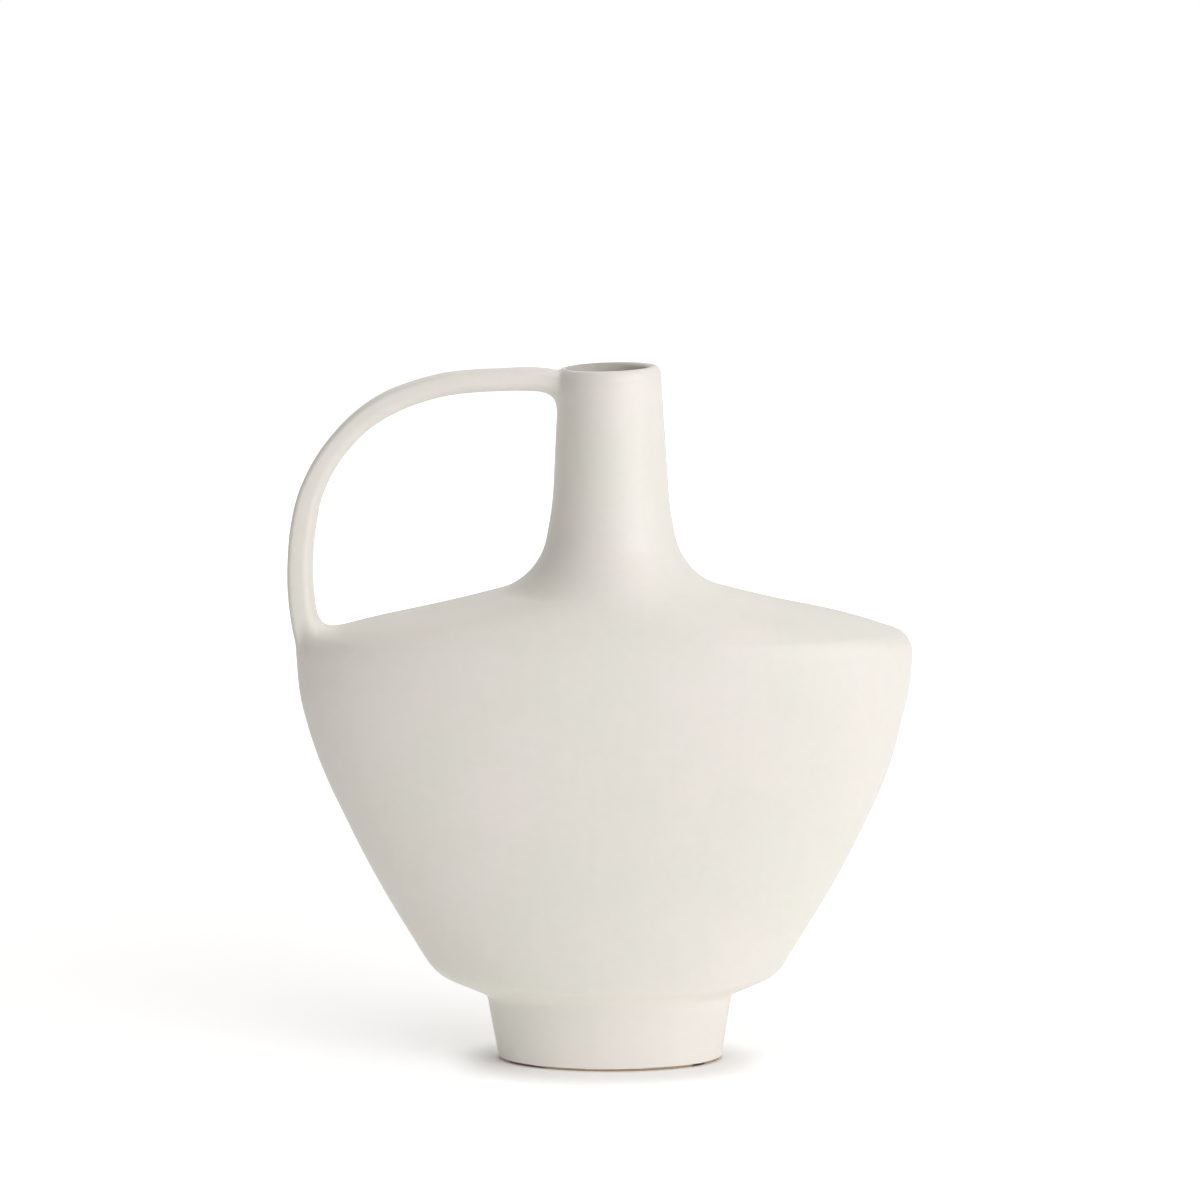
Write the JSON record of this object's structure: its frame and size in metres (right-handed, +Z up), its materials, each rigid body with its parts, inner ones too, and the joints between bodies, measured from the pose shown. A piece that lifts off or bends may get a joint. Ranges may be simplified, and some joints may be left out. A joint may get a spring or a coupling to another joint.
{
  "type": "handled pottery vase",
  "caption": "Flattened oval pottery vase with a low oval foot, wide sloping shoulder, slender round neck and one tall strap handle from lip to shoulder.",
  "frame": {"origin": "On the table, on the axis of the round neck, at the middle of the oval foot.", "axes": "X runs across the wide side with the handle on -X, Y from front to back through the flat side, Z up along the neck."},
  "size_m": [0.2673, 0.0944, 0.3],
  "materials": {
    "glaze": "matt warm white glaze",
    "bare_clay": "unglazed fired clay"
  },
  "bodies": {
    "root": {"foot": "glaze", "floor": "bare_clay", "belly": "glaze", "shoulder": "glaze", "neck": "glaze", "handle": "glaze", "upper_joint_coil": "glaze", "lower_joint_coil": "glaze"}
  },
  "joints": []
}
